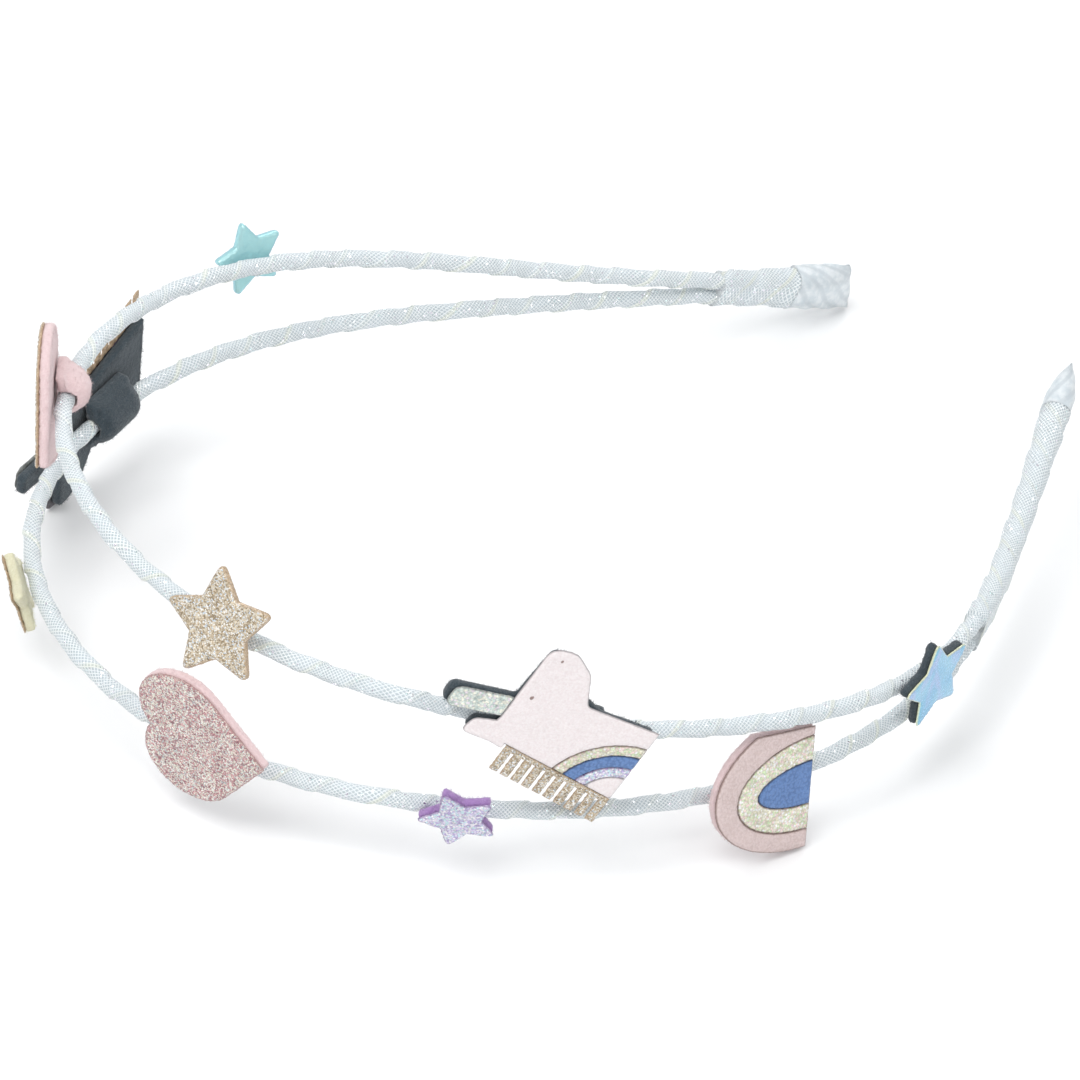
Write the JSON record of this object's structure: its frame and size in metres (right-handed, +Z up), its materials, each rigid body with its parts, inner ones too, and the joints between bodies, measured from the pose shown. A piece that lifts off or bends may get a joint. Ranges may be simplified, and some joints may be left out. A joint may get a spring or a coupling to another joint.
{
  "type": "charm headband",
  "caption": "Double-strand ribbon-wrapped wire headband with glued felt and glitter charms: unicorn heads, a rainbow, hearts and stars, lying on its side.",
  "frame": {"origin": "middle of the footprint, on the surface that the headband lies on", "axes": "+Y from the crown of the band to its tips, +Z up; the band lies on its side, so a wearer's head goes through along Z"},
  "size_m": [0.1128, 0.1632, 0.0447],
  "materials": {
    "ribbon": "shimmer mesh ribbon",
    "satin": "pleated satin",
    "felt_charcoal": "felt",
    "pearl_pink": "pearly suede",
    "leather_dusty_pink": "leatherette",
    "felt_pale_pink": "felt",
    "glitter_gold": "glitter sheet",
    "glitter_yellow": "glitter sheet",
    "leather_blue": "leatherette",
    "glitter_lilac": "glitter sheet",
    "glitter_pearl": "glitter sheet",
    "glitter_rose": "glitter sheet",
    "felt_purple": "felt",
    "foil_blue": "iridescent foil",
    "pearl_cyan": "pearly",
    "felt_pale_yellow": "felt"
  },
  "bodies": {
    "root": {"wire_upper": "ribbon", "wire_lower": "ribbon", "wrap_near": "ribbon", "wrap_far": "ribbon", "tip_near": "satin", "tip_far": "satin", "blue_star_back": "felt_charcoal", "blue_star_face": "foil_blue", "purple_star_back": "felt_purple", "purple_star_face": "glitter_lilac", "gold_star": "glitter_gold", "cyan_star": "pearl_cyan", "yellow_star_back": "felt_pale_yellow", "yellow_star_face": "glitter_gold", "rose_heart_back": "felt_pale_pink", "rose_heart_face": "glitter_rose", "side_heart_back": "felt_pale_pink", "side_heart_face": "glitter_gold", "side_heart_patch": "felt_pale_pink", "rainbow_back": "felt_pale_pink", "rainbow_pink": "leather_dusty_pink", "rainbow_yellow": "glitter_yellow", "rainbow_blue": "leather_blue", "unicorn_felt": "felt_charcoal", "unicorn_face": "pearl_pink", "unicorn_horn": "glitter_pearl", "unicorn_mane": "glitter_gold", "unicorn_band_yellow": "glitter_yellow", "unicorn_band_blue": "leather_blue", "unicorn_band_lilac": "glitter_lilac", "unicorn_corner": "pearl_pink", "unicorn_patch": "felt_charcoal", "unicorn_2_felt": "felt_charcoal", "unicorn_2_face": "pearl_pink", "unicorn_2_horn": "glitter_pearl", "unicorn_2_mane": "glitter_gold", "unicorn_2_band_yellow": "glitter_yellow", "unicorn_2_band_blue": "leather_blue", "unicorn_2_band_lilac": "glitter_lilac", "unicorn_2_corner": "pearl_pink", "unicorn_2_patch": "felt_charcoal"}
  },
  "joints": []
}
